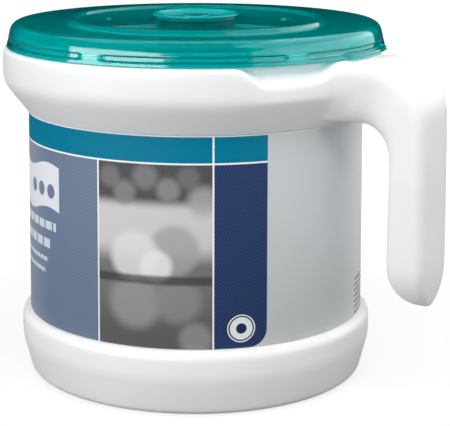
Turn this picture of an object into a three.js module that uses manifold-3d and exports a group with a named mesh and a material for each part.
// Portable centre-feed paper towel dispenser: a white moulded bucket with a hooked handle, a
// see-through lid with a feed nozzle, a printed sleeve round the wall and the paper roll that
// stands inside. Millimetres, +Z up. The origin is the centre of the floor's underside, and the
// handle points along +X.
import * as THREE from 'three';
import { mergeVertices } from 'three/addons/utils/BufferGeometryUtils.js';
import Module from 'manifold-3d';

const wasm = await Module();
wasm.setup();

// Driving dimensions of the bucket. The wall's radius at the label's top leads, and the base
// ring, collar, neck, lid, roll and handle follow it.
const BUCKET_WALL = 2;
const LABEL_TOP_RADIUS = 100;
const LABEL_TAPER = 1.5;
const LABEL_HEIGHT = 120;
const BASE_RING_HEIGHT = 39.2;
const RING_STEP = 5.1;
const RING_BELLY = 0.57;
const RING_BELLY_ROUND = 30;
const RING_SHOULDER = 1.6;
const RING_SHOULDER_ROUND = 6;
const FOOT_INSET = 5.4;
const FOOT_ROUND = 5;
const CONE_TURN = 0.7755;
const CONE_ROUND = 12;
const COLLAR_STEP = 14.4;
const COLLAR_RISE = 37.8;
const COLLAR_ROUND = 3;
const COLLAR_OVERHANG = 7.4;
const NECK_HEIGHT = 8;
const NECK_WALL = 2.2;
const NECK_BEAD = 0.9;
const BEAD_DROP = 1.6;
const BEAD_SLOPE = 0.8;

// Driving dimensions of the label
const LABEL_THICKNESS = 0.35;
const SEAT_GAP = 0.3;

// Driving dimensions of the thumb scallops beside the handle
const SCALLOP_ANGLE = 31;
const SCALLOP_DEPTH = 11.5;
const SCALLOP_CUT_RADIUS = 45;

// Driving dimensions of the handle
const HANDLE_STANDOFF = 42.6;
const HANDLE_GRIP_DEPTH = 20.5;
const HANDLE_WIDTH = 33;
const HANDLE_ROOT_HEIGHT = 34;
const HANDLE_OUTER_BEND = 31.3;
const HANDLE_INNER_BEND = 18.5;
const HANDLE_DROP = 137.5;
const HANDLE_TIP_LENGTH = 24;
const HANDLE_TIP_POWER = 1.7;
const HANDLE_TIP_OUTER = 0.2;
const HANDLE_TIP_INNER = 0.78;
const HANDLE_SPLAY = 1.4;
const HANDLE_EDGE = 5;
const HANDLE_FLARE = 17;
const HANDLE_FLARE_LENGTH = 26;
const HANDLE_FLARE_START = 6;

// Driving dimensions of the lid
const LID_WALL = 1.6;
const LID_HEIGHT = 14.5;
const SKIRT_REACH = 5.2;
const SKIRT_DRAFT = 0.245;
const LID_SHOULDER = 6;
const LID_DIP = 1.7;
const DECK_WIDTH = 34.6;
const RING_WIDTH = 6;
const RING_HEIGHT = 3.2;
const RING_DRAFT = 1;
const RING_ROUND = 0.8;
const RING_FOOT = 0.4;
const DISC_RISE = 0.2;
const SLOT_COUNT = 6;
const SLOT_BRIDGE = 7;
const SLOT_HEIGHT = 3.6;
const SLOT_LIFT = 2.6;
const SLOT_DEPTH = 0.7;
const SNAP_CLEARANCE = 0.4;
const SNAP_TOP_GAP = 0.9;
const SNAP_FOOT_GAP = 0.6;
const LID_FACING = -57;
const TAB_ANGLE = 11;
const TAB_SPREAD = 21;
const TAB_TAPER = 2;
const TAB_REACH = 1.9;
const TAB_HEIGHT = 3.4;
const NUB_OFFSET = 52;
const NUB_RADIUS = 1.8;
const NUB_HEIGHT = 0.9;
const NUB_ROUND = 0.6;

// Driving dimensions of the feed nozzle
const NOZZLE_RADIUS = 22.3;
const NOZZLE_WALL = 1.6;
const NOZZLE_FLARE = 3.8;
const NOZZLE_RIM_LIFT = 3.8;
const NOZZLE_RIM_HEIGHT = 1.2;
const NOZZLE_RIM_WIDTH = 1.6;
const NOZZLE_RIM_ROUND = 0.6;
const NOZZLE_DROP = 21;
const NOZZLE_CLIP = 1.1;
const DISH_DEPTH = 1.8;
const DISH_INSET = 3.4;
const OUTLET_RADIUS = 6.5;
const OUTLET_WALL = 1.4;
const OUTLET_LIP = 0.6;
const OUTLET_DROP = 4.5;
const FIT_CLEARANCE = 0.3;

// Driving dimensions of the paper roll
const ROLL_CLEARANCE = 2.35;
const ROLL_HEADROOM = 8.7;
const ROLL_EDGE = 2;
const ROLL_CORE = 30;
const ROLL_TURNS = 7;
const TURN_RELIEF = 0.8;
const TURN_FLAT = 0.75;
const TURN_SLOPE = 0.12;
const TAIL_LENGTH = 66;
const TAIL_GAP = 4.7;
const TAIL_TIP = 7;
const TAIL_THICKNESS = 1.2;
const TAIL_PLEATS = 7;
const TAIL_FOLD = 0.22;
const TAIL_TWIST = 1.5;

// How finely round things are divided
const ROUND_STEPS = 56;
const NOZZLE_STEPS = 32;
const ROLL_STEPS = 44;
const ARC_STEPS = 3;

// Points of an outline whose corners are [x, y, radius], each turned into an arc
function roundedOutline(corners, closed = false, steps = ARC_STEPS) {
  const points = [];
  corners.forEach(([x, y, radius = 0], i) => {
    const here = new THREE.Vector2(x, y);
    const last = corners.length - 1;
    const atEnd = !closed && (i === 0 || i === last);
    if (atEnd || radius === 0) {
      points.push(here);
      return;
    }
    const before = corners[i === 0 ? last : i - 1];
    const after = corners[i === last ? 0 : i + 1];
    const back = new THREE.Vector2(before[0], before[1]).sub(here).normalize();
    const ahead = new THREE.Vector2(after[0], after[1]).sub(here).normalize();
    const half = Math.acos(THREE.MathUtils.clamp(back.dot(ahead), -1, 1)) / 2;
    const tangent = radius / Math.tan(half);
    const middle = back.clone().add(ahead).normalize();
    const centre = here.clone().addScaledVector(middle, radius / Math.sin(half));
    const from = here.clone().addScaledVector(back, tangent).sub(centre);
    const to = here.clone().addScaledVector(ahead, tangent).sub(centre);
    const sweep = Math.atan2(from.cross(to), from.dot(to));
    for (let k = 0; k <= steps; k++) {
      const zero = new THREE.Vector2(0, 0);
      points.push(from.clone().rotateAround(zero, (sweep * k) / steps).add(centre));
    }
  });
  return points;
}

// A closed mesh with merged vertices, no collapsed triangles and its faces pointing out
function closedMesh(geometry) {
  geometry.deleteAttribute('normal');
  geometry.deleteAttribute('uv');
  const merged = mergeVertices(geometry, 1e-4);
  const position = merged.getAttribute('position');
  const corner = [new THREE.Vector3(), new THREE.Vector3(), new THREE.Vector3()];
  const index = [];
  let volume = 0;
  for (let i = 0; i < merged.index.count; i += 3) {
    const [a, b, c] = [0, 1, 2].map((k) => merged.index.getX(i + k));
    if (a === b || b === c || c === a) continue;
    index.push(a, b, c);
    corner.forEach((point, k) => point.fromBufferAttribute(position, [a, b, c][k]));
    volume += corner[0].dot(corner[1].clone().cross(corner[2]));
  }
  if (volume < 0) index.reverse();
  merged.setIndex(index);
  return merged;
}

function toSolid(geometry) {
  const closed = closedMesh(geometry);
  return new wasm.Manifold(new wasm.Mesh({
    numProp: 3,
    vertProperties: Float32Array.from(closed.getAttribute('position').array),
    triVerts: Uint32Array.from(closed.index.array),
  }));
}

function toGeometry(solid) {
  const mesh = solid.getMesh();
  const geometry = new THREE.BufferGeometry();
  geometry.setAttribute('position', new THREE.BufferAttribute(mesh.vertProperties, 3));
  geometry.setIndex(new THREE.BufferAttribute(mesh.triVerts, 1));
  return geometry;
}

// Turns an outline of radius and height about the Z axis
function turned(outline, steps = ROUND_STEPS) {
  return toSolid(new THREE.LatheGeometry(outline, steps).rotateX(Math.PI / 2));
}

// Turns an outline that closes on itself, away from the axis
function turnedRing(outline, steps = ROUND_STEPS) {
  return turned([...outline, outline[0].clone()], steps);
}

// A closed skin over a row of sections with equal numbers of points
function loft(sections) {
  const count = sections[0].length;
  const vertices = sections.flat().flatMap((point) => point.toArray());
  const index = [];
  for (let s = 0; s + 1 < sections.length; s++) {
    for (let k = 0; k < count; k++) {
      const a = s * count + k;
      const b = s * count + ((k + 1) % count);
      index.push(a, b, b + count, a, b + count, a + count);
    }
  }
  const lastStart = (sections.length - 1) * count;
  for (let k = 1; k + 1 < count; k++) {
    index.push(0, k + 1, k);
    index.push(lastStart, lastStart + k, lastStart + k + 1);
  }
  const geometry = new THREE.BufferGeometry();
  geometry.setAttribute('position', new THREE.Float32BufferAttribute(vertices, 3));
  geometry.setIndex(index);
  return toSolid(geometry);
}

// Heights and radii that several pieces share
const LABEL_BOTTOM = BASE_RING_HEIGHT;
const LABEL_TOP = LABEL_BOTTOM + LABEL_HEIGHT;
const LABEL_DEPTH = LABEL_THICKNESS + SEAT_GAP;
const LABEL_BOTTOM_RADIUS = LABEL_TOP_RADIUS + LABEL_TAPER;
const BASE_RING_RADIUS = LABEL_BOTTOM_RADIUS + RING_STEP;
const BASE_FOOT_RADIUS = BASE_RING_RADIUS - FOOT_INSET;
const COLLAR_RADIUS = LABEL_TOP_RADIUS + COLLAR_STEP;
const COLLAR_TOP = LABEL_TOP + COLLAR_RISE;
const CONE_START = LABEL_TOP + SEAT_GAP;
const CONE_END = CONE_START + (COLLAR_STEP - LABEL_DEPTH) / CONE_TURN;
const NECK_RADIUS = COLLAR_RADIUS - COLLAR_OVERHANG;
const NECK_TOP = COLLAR_TOP + NECK_HEIGHT;
const NECK_BORE = NECK_RADIUS - NECK_WALL;
const SCALLOP_FLOOR = COLLAR_TOP - SCALLOP_DEPTH;
const HANDLE_REACH = COLLAR_RADIUS + HANDLE_STANDOFF;
const HANDLE_TIP_HEIGHT = COLLAR_TOP - HANDLE_DROP;
const SKIRT_RADIUS = NECK_RADIUS + SKIRT_REACH;
const SKIRT_BOTTOM = COLLAR_TOP + SEAT_GAP;
const LID_TOP = COLLAR_TOP + LID_HEIGHT;
const DISC_TOP = LID_TOP + DISC_RISE;
const RING_OUTER = SKIRT_RADIUS - DECK_WIDTH;
const TAB_RADIUS = SKIRT_RADIUS + TAB_REACH;
const NOZZLE_BOTTOM = DISC_TOP - NOZZLE_DROP;
const NOZZLE_RIM_RADIUS = NOZZLE_RADIUS + NOZZLE_FLARE;
const ROLL_RADIUS = LABEL_TOP_RADIUS - LABEL_DEPTH - BUCKET_WALL - ROLL_CLEARANCE;
const ROLL_BOTTOM = BUCKET_WALL + SEAT_GAP;
const ROLL_TOP = NECK_TOP - ROLL_HEADROOM;
const TAIL_END = NOZZLE_BOTTOM - TAIL_GAP;
const TAIL_START = TAIL_END - TAIL_LENGTH;

// The bucket's outside, from the axis under the floor to the axis over the neck
function bucketOutline() {
  const bead = NECK_TOP - BEAD_DROP;
  return roundedOutline([
    [0, 0],
    [BASE_FOOT_RADIUS, 0, FOOT_ROUND],
    [BASE_RING_RADIUS, RING_BELLY * BASE_RING_HEIGHT, RING_BELLY_ROUND],
    [BASE_RING_RADIUS, BASE_RING_HEIGHT - RING_SHOULDER, RING_SHOULDER_ROUND],
    [LABEL_BOTTOM_RADIUS - LABEL_DEPTH, BASE_RING_HEIGHT - SEAT_GAP],
    [LABEL_TOP_RADIUS - LABEL_DEPTH, CONE_START],
    [LABEL_TOP_RADIUS + LABEL_DEPTH, CONE_START],
    [COLLAR_RADIUS, CONE_END, CONE_ROUND],
    [COLLAR_RADIUS, COLLAR_TOP, COLLAR_ROUND],
    [NECK_RADIUS, COLLAR_TOP],
    [NECK_RADIUS, bead - BEAD_SLOPE],
    [NECK_RADIUS + NECK_BEAD, bead],
    [NECK_RADIUS + NECK_BEAD, NECK_TOP - BEAD_SLOPE],
    [NECK_RADIUS, NECK_TOP],
    [0, NECK_TOP],
  ]);
}

// The bucket's inside, one wall behind its outside
function hollowOutline() {
  const recess = LABEL_DEPTH + BUCKET_WALL;
  const ringInside = BASE_RING_RADIUS - BUCKET_WALL;
  const collarInside = COLLAR_RADIUS - BUCKET_WALL;
  return roundedOutline([
    [0, BUCKET_WALL],
    [BASE_FOOT_RADIUS - BUCKET_WALL, BUCKET_WALL, FOOT_ROUND - BUCKET_WALL],
    [ringInside, RING_BELLY * BASE_RING_HEIGHT, RING_BELLY_ROUND - 5 * BUCKET_WALL],
    [ringInside, BASE_RING_HEIGHT - RING_SHOULDER - BUCKET_WALL, RING_SHOULDER_ROUND - BUCKET_WALL],
    [LABEL_BOTTOM_RADIUS - recess, BASE_RING_HEIGHT],
    [LABEL_TOP_RADIUS - recess, CONE_START],
    [collarInside, CONE_END + BUCKET_WALL, CONE_ROUND - 2 * BUCKET_WALL],
    [collarInside, COLLAR_TOP - BUCKET_WALL, COLLAR_ROUND / 2],
    [NECK_BORE, COLLAR_TOP - BUCKET_WALL],
    [NECK_BORE, NECK_TOP + BUCKET_WALL],
    [0, NECK_TOP + BUCKET_WALL],
  ], false, 2);
}

// Half the handle's width at a distance from the axis: it flares where it joins the collar
function handleHalfWidth(distance) {
  const outFromStart = distance - COLLAR_RADIUS + HANDLE_FLARE_START;
  const closeness = Math.max(0, 1 - outFromStart / HANDLE_FLARE_LENGTH);
  return HANDLE_WIDTH / 2 + HANDLE_FLARE * closeness ** 2;
}

// One cross-section of the handle between its outer and inner rail, with rounded edges
function handleSection(outer, inner, half) {
  const depth = outer.distanceTo(inner) / 2;
  const edge = Math.min(HANDLE_EDGE, 0.9 * depth, 0.9 * half);
  const corners = [[-half, -depth, edge], [half, -depth, edge], [half, depth, edge], [-half, depth, edge]];
  const middle = outer.clone().add(inner).multiplyScalar(0.5);
  const outward = outer.clone().sub(inner).normalize();
  return roundedOutline(corners, true).map((p) => new THREE.Vector3(
    middle.x + outward.x * p.y,
    p.x,
    middle.y + outward.y * p.y,
  ));
}

// The handle as a loft between two rails in its own plane, smaller all round by inset
function handleSolid(inset, rootDistance) {
  const top = COLLAR_TOP - inset;
  const under = COLLAR_TOP - HANDLE_ROOT_HEIGHT + inset;
  const bendOuter = HANDLE_OUTER_BEND - inset;
  const bendInner = HANDLE_INNER_BEND + inset;
  const outerCentre = new THREE.Vector2(HANDLE_REACH - HANDLE_OUTER_BEND, top - bendOuter);
  const gripInside = HANDLE_REACH - HANDLE_GRIP_DEPTH;
  const innerCentre = new THREE.Vector2(gripInside - HANDLE_INNER_BEND, under - bendInner);
  const tipStart = HANDLE_TIP_HEIGHT + HANDLE_TIP_LENGTH;
  const stations = [];
  for (const share of [0, 0.35, 0.7]) {
    const outerX = THREE.MathUtils.lerp(rootDistance, outerCentre.x, share);
    const innerX = THREE.MathUtils.lerp(rootDistance, innerCentre.x, share);
    stations.push([new THREE.Vector2(outerX, top), new THREE.Vector2(innerX, under)]);
  }
  const bendSteps = 8;
  for (let k = 0; k <= bendSteps; k++) {
    const turn = (Math.PI / 2) * (1 - k / bendSteps);
    const aim = new THREE.Vector2(Math.cos(turn), Math.sin(turn));
    stations.push([
      outerCentre.clone().addScaledVector(aim, bendOuter),
      innerCentre.clone().addScaledVector(aim, bendInner),
    ]);
  }
  const tipSteps = 6;
  for (let k = 0; k <= tipSteps; k++) {
    const turn = (0.47 * Math.PI * k) / tipSteps;
    const height = tipStart + inset - HANDLE_TIP_LENGTH * Math.sin(turn);
    const closing = (1 - Math.cos(turn)) * HANDLE_GRIP_DEPTH;
    const outerX = HANDLE_REACH + HANDLE_SPLAY - inset - HANDLE_TIP_OUTER * closing;
    const innerX = gripInside + HANDLE_SPLAY / 2 + inset + HANDLE_TIP_INNER * closing;
    stations.push([new THREE.Vector2(outerX, height), new THREE.Vector2(innerX, height)]);
  }
  return loft(stations.map(([outer, inner]) => {
    const middle = (outer.x + inner.x) / 2;
    const along = Math.max(0, (tipStart + inset - outer.y) / HANDLE_TIP_LENGTH);
    const taper = (1 - Math.min(0.995, along) ** HANDLE_TIP_POWER) ** (1 / HANDLE_TIP_POWER);
    return handleSection(outer, inner, (handleHalfWidth(middle) - inset) * taper);
  }));
}

// A round cutter that lies along a radius and bites into the collar's top beside the handle
function scallopCutter(angle, grow) {
  const length = COLLAR_RADIUS;
  const round = new THREE.CylinderGeometry(
    SCALLOP_CUT_RADIUS + grow, SCALLOP_CUT_RADIUS + grow, length, 60,
  );
  round.rotateZ(Math.PI / 2);
  round.translate(length / 2 + 0.8 * NECK_RADIUS, 0, SCALLOP_FLOOR + SCALLOP_CUT_RADIUS);
  round.rotateZ(THREE.MathUtils.degToRad(angle));
  const kept = turned(roundedOutline([
    [0, 0],
    [NECK_RADIUS + FIT_CLEARANCE - grow, 0],
    [NECK_RADIUS + FIT_CLEARANCE - grow, 2 * LID_TOP],
    [0, 2 * LID_TOP],
  ]));
  return toSolid(round).subtract(kept);
}

function buildContainer() {
  const rootDistance = NECK_BORE - BUCKET_WALL;
  let bucket = turned(bucketOutline());
  let hollow = turned(hollowOutline());
  for (const side of [-1, 1]) {
    bucket = bucket.subtract(scallopCutter(side * SCALLOP_ANGLE, 0));
    hollow = hollow.subtract(scallopCutter(side * SCALLOP_ANGLE, BUCKET_WALL));
  }
  // the handle comes after the scallops, so they run out against its flared root
  bucket = bucket.add(handleSolid(0, rootDistance));
  hollow = hollow.add(handleSolid(BUCKET_WALL, rootDistance - BUCKET_WALL));
  return toGeometry(bucket.subtract(hollow));
}

// A thin sleeve in the wall's recess, as conical as the wall
function buildLabel() {
  return toGeometry(turnedRing(roundedOutline([
    [LABEL_BOTTOM_RADIUS, LABEL_BOTTOM],
    [LABEL_TOP_RADIUS, LABEL_TOP],
    [LABEL_TOP_RADIUS - LABEL_THICKNESS, LABEL_TOP],
    [LABEL_BOTTOM_RADIUS - LABEL_THICKNESS, LABEL_BOTTOM],
  ])));
}

// The skirt's outer radius at a height
function skirtRadius(height) {
  return SKIRT_RADIUS - SKIRT_DRAFT * (height - SKIRT_BOTTOM);
}

function lidOutline() {
  const ringInner = RING_OUTER - RING_WIDTH;
  const ringBase = LID_TOP - LID_DIP;
  const beadRadius = NECK_RADIUS + NECK_BEAD + SNAP_CLEARANCE;
  const slotBottom = SKIRT_BOTTOM + SLOT_LIFT;
  const slotTop = slotBottom + SLOT_HEIGHT;
  const hole = NOZZLE_RADIUS + FIT_CLEARANCE;
  const inside = (height) => skirtRadius(height) - LID_WALL;
  return roundedOutline([
    [skirtRadius(SKIRT_BOTTOM), SKIRT_BOTTOM],
    [skirtRadius(slotBottom), slotBottom],
    [skirtRadius(slotTop), slotTop],
    [skirtRadius(LID_TOP), LID_TOP, LID_SHOULDER],
    [RING_OUTER, ringBase],
    [RING_OUTER - RING_DRAFT, ringBase + RING_HEIGHT, RING_ROUND],
    [ringInner, ringBase + RING_HEIGHT, RING_ROUND],
    [ringInner - RING_FOOT, DISC_TOP],
    [hole, DISC_TOP],
    [hole, DISC_TOP - LID_WALL],
    [ringInner + LID_WALL - RING_DRAFT, DISC_TOP - LID_WALL],
    [RING_OUTER - RING_DRAFT - 0.75 * LID_WALL, ringBase + RING_HEIGHT - LID_WALL],
    [RING_OUTER - 0.5 * LID_WALL, ringBase - LID_WALL],
    [inside(LID_TOP - LID_WALL), LID_TOP - LID_WALL, LID_SHOULDER - LID_WALL],
    [inside(slotTop), slotTop],
    [beadRadius, slotTop - SNAP_TOP_GAP],
    [beadRadius, slotBottom + SNAP_FOOT_GAP],
    [inside(slotBottom), slotBottom - SNAP_CLEARANCE],
    [inside(SKIRT_BOTTOM), SKIRT_BOTTOM],
  ], true);
}

// The shallow snap slots: one groove round the skirt, interrupted by bridges with hollow ends
function slotCutter() {
  const bottom = SKIRT_BOTTOM + SLOT_LIFT;
  const middle = bottom + SLOT_HEIGHT / 2;
  const reach = SKIRT_RADIUS + LID_WALL;
  let groove = turnedRing(roundedOutline([
    [skirtRadius(bottom) - SLOT_DEPTH, bottom],
    [reach, bottom],
    [reach, bottom + SLOT_HEIGHT],
    [skirtRadius(bottom + SLOT_HEIGHT) - SLOT_DEPTH, bottom + SLOT_HEIGHT],
  ]));
  const spacing = 360 / SLOT_COUNT;
  const bridgeWidth = 2 * SKIRT_RADIUS * Math.sin(THREE.MathUtils.degToRad(SLOT_BRIDGE / 2));
  const ends = [];
  for (let k = 0; k < SLOT_COUNT; k++) {
    const angle = THREE.MathUtils.degToRad(LID_FACING + (k + 0.5) * spacing);
    const block = new THREE.BoxGeometry(4 * LID_WALL, bridgeWidth + SLOT_HEIGHT, 2 * SLOT_HEIGHT);
    block.translate(SKIRT_RADIUS, 0, middle).rotateZ(angle);
    groove = groove.subtract(toSolid(block));
    for (const side of [-1, 1]) {
      const end = new THREE.CylinderGeometry(SLOT_HEIGHT / 2, SLOT_HEIGHT / 2, 2 * LID_WALL, 12);
      end.rotateZ(Math.PI / 2);
      end.translate(skirtRadius(middle) - SLOT_DEPTH + LID_WALL, side * (bridgeWidth + SLOT_HEIGHT) / 2, middle);
      ends.push(toSolid(end.rotateZ(angle)));
    }
  }
  return ends.reduce((all, end) => all.add(end), groove);
}

// The low lip on the skirt that a finger lifts: a sector of a ring with rounded ends
function tabSolid() {
  const inner = skirtRadius(SKIRT_BOTTOM) - 0.6 * LID_WALL;
  const spread = THREE.MathUtils.degToRad(TAB_SPREAD);
  const taper = THREE.MathUtils.degToRad(TAB_TAPER);
  const shape = new THREE.Shape();
  shape.absarc(0, 0, TAB_RADIUS, -spread + taper, spread - taper, false);
  shape.absarc(0, 0, inner, spread, -spread, true);
  const lip = new THREE.ExtrudeGeometry(shape, { depth: TAB_HEIGHT, bevelEnabled: false, curveSegments: 12 });
  lip.translate(0, 0, SKIRT_BOTTOM);
  lip.rotateZ(THREE.MathUtils.degToRad(TAB_ANGLE));
  return toSolid(lip);
}

// A low dome on the lid's disc
function nubSolid(angle) {
  const dome = new THREE.LatheGeometry(roundedOutline([
    [0, -LID_WALL / 2],
    [NUB_RADIUS, -LID_WALL / 2],
    [NUB_RADIUS, NUB_HEIGHT, NUB_ROUND],
    [0, NUB_HEIGHT],
  ], false, 2), 16);
  dome.rotateX(Math.PI / 2);
  dome.translate(NUB_OFFSET, 0, DISC_TOP);
  dome.rotateZ(THREE.MathUtils.degToRad(angle));
  return toSolid(dome);
}

function buildLid() {
  let lid = turnedRing(lidOutline()).subtract(slotCutter()).add(tabSolid());
  for (const side of [-90, 90]) {
    lid = lid.add(nubSolid(LID_FACING + side));
  }
  return toGeometry(lid);
}

// The nozzle's section: bell mouth, shallow dish with the outlet, and a tube with a snap ring
function buildNozzle() {
  const seat = DISC_TOP + FIT_CLEARANCE;
  const rim = DISC_TOP + NOZZLE_RIM_LIFT;
  const dish = rim - DISH_DEPTH;
  const clipTop = DISC_TOP - LID_WALL - FIT_CLEARANCE;
  const neck = NOZZLE_RADIUS + 2 * NOZZLE_CLIP;
  const bore = NOZZLE_RADIUS - NOZZLE_WALL;
  return toGeometry(turnedRing(roundedOutline([
    [NOZZLE_RADIUS, NOZZLE_BOTTOM],
    [NOZZLE_RADIUS, clipTop - 2 * NOZZLE_CLIP],
    [NOZZLE_RADIUS + NOZZLE_CLIP, clipTop],
    [NOZZLE_RADIUS, clipTop],
    [NOZZLE_RADIUS, seat],
    [neck, seat],
    [neck, rim - 1.3 * NOZZLE_RIM_HEIGHT, NOZZLE_CLIP],
    [NOZZLE_RIM_RADIUS, rim - NOZZLE_RIM_HEIGHT],
    [NOZZLE_RIM_RADIUS, rim, NOZZLE_RIM_ROUND],
    [NOZZLE_RIM_RADIUS - NOZZLE_RIM_WIDTH, rim, NOZZLE_RIM_ROUND],
    [NOZZLE_RIM_RADIUS - DISH_INSET, dish, NOZZLE_WALL / 2],
    [OUTLET_RADIUS + OUTLET_WALL, dish],
    [OUTLET_RADIUS + OUTLET_LIP, dish + OUTLET_LIP],
    [OUTLET_RADIUS, dish],
    [OUTLET_RADIUS, dish - OUTLET_DROP],
    [OUTLET_RADIUS + OUTLET_WALL, dish - OUTLET_DROP],
    [OUTLET_RADIUS + OUTLET_WALL, dish - NOZZLE_WALL],
    [bore, dish - NOZZLE_WALL, NOZZLE_WALL],
    [bore, NOZZLE_BOTTOM],
  ], true, 2), NOZZLE_STEPS));
}

// The wound roll with an open middle; its end shows the turns as low steps
function rollSolid() {
  const pitch = (ROLL_RADIUS - ROLL_CORE) / ROLL_TURNS;
  const corners = [[ROLL_CORE, ROLL_BOTTOM], [ROLL_RADIUS, ROLL_BOTTOM, ROLL_EDGE]];
  for (let k = ROLL_TURNS; k > 0; k--) {
    const radius = ROLL_CORE + k * pitch;
    corners.push([radius, ROLL_TOP, k === ROLL_TURNS ? ROLL_EDGE / 2 : 0]);
    corners.push([radius - pitch * TURN_FLAT, ROLL_TOP]);
    corners.push([radius - pitch * (TURN_FLAT + TURN_SLOPE), ROLL_TOP - TURN_RELIEF]);
  }
  corners.push([ROLL_CORE, ROLL_TOP - TURN_RELIEF]);
  return turnedRing(roundedOutline(corners, true, 2), ROLL_STEPS);
}

// The first turn pulled up from the middle of the roll: a cone of paper that gathers in pleats
function tailSolid() {
  const root = ROLL_CORE + TAIL_THICKNESS / 2;
  const waist = THREE.MathUtils.lerp(root, TAIL_TIP, 0.55);
  const middle = THREE.MathUtils.lerp(TAIL_START, TAIL_END, 0.5);
  const geometry = new THREE.LatheGeometry([
    [root, TAIL_START],
    [waist, middle],
    [TAIL_TIP, TAIL_END],
    [TAIL_TIP - TAIL_THICKNESS, TAIL_END],
    [waist - TAIL_THICKNESS, middle],
    [root - TAIL_THICKNESS, TAIL_START],
    [root, TAIL_START],
  ].map(([radius, height]) => new THREE.Vector2(radius, height)), 6 * TAIL_PLEATS);
  geometry.rotateX(Math.PI / 2);
  const position = geometry.getAttribute('position');
  for (let i = 0; i < position.count; i++) {
    const [x, y, z] = [position.getX(i), position.getY(i), position.getZ(i)];
    const climb = (z - TAIL_START) / (TAIL_END - TAIL_START);
    const fold = 1 + TAIL_FOLD * climb * Math.sin(TAIL_PLEATS * Math.atan2(y, x) + TAIL_TWIST * climb);
    position.setXYZ(i, x * fold, y * fold, z);
  }
  return toSolid(geometry);
}

function buildRoll() {
  return toGeometry(rollSolid().add(tailSolid()));
}

// Colours and finishes as the photograph shows them
const whitePlastic = new THREE.MeshStandardMaterial({ color: 0xf7f8f8, roughness: 0.42 });
const printedFilm = new THREE.MeshStandardMaterial({ color: 0xbfc6cc, roughness: 0.38 });
const tintedPlastic = new THREE.MeshStandardMaterial({
  color: 0x12a3a0, roughness: 0.12, transparent: true, opacity: 0.6,
});
const nozzlePlastic = new THREE.MeshStandardMaterial({ color: 0x19abb0, roughness: 0.3 });
const towelPaper = new THREE.MeshStandardMaterial({ color: 0xe9e7e0, roughness: 0.95 });

function named(name, geometry, material) {
  const mesh = new THREE.Mesh(geometry, material);
  mesh.name = name;
  return mesh;
}

const dispenser = new THREE.Group();
dispenser.add(named('container', buildContainer(), whitePlastic));
dispenser.add(named('wrap_label', buildLabel(), printedFilm));
dispenser.add(named('paper_roll', buildRoll(), towelPaper));

// The lid and its nozzle come off together
const cover = new THREE.Group();
cover.add(named('lid', buildLid(), tintedPlastic));
cover.add(named('feed_nozzle', buildNozzle(), nozzlePlastic));
dispenser.add(cover);

export default dispenser;
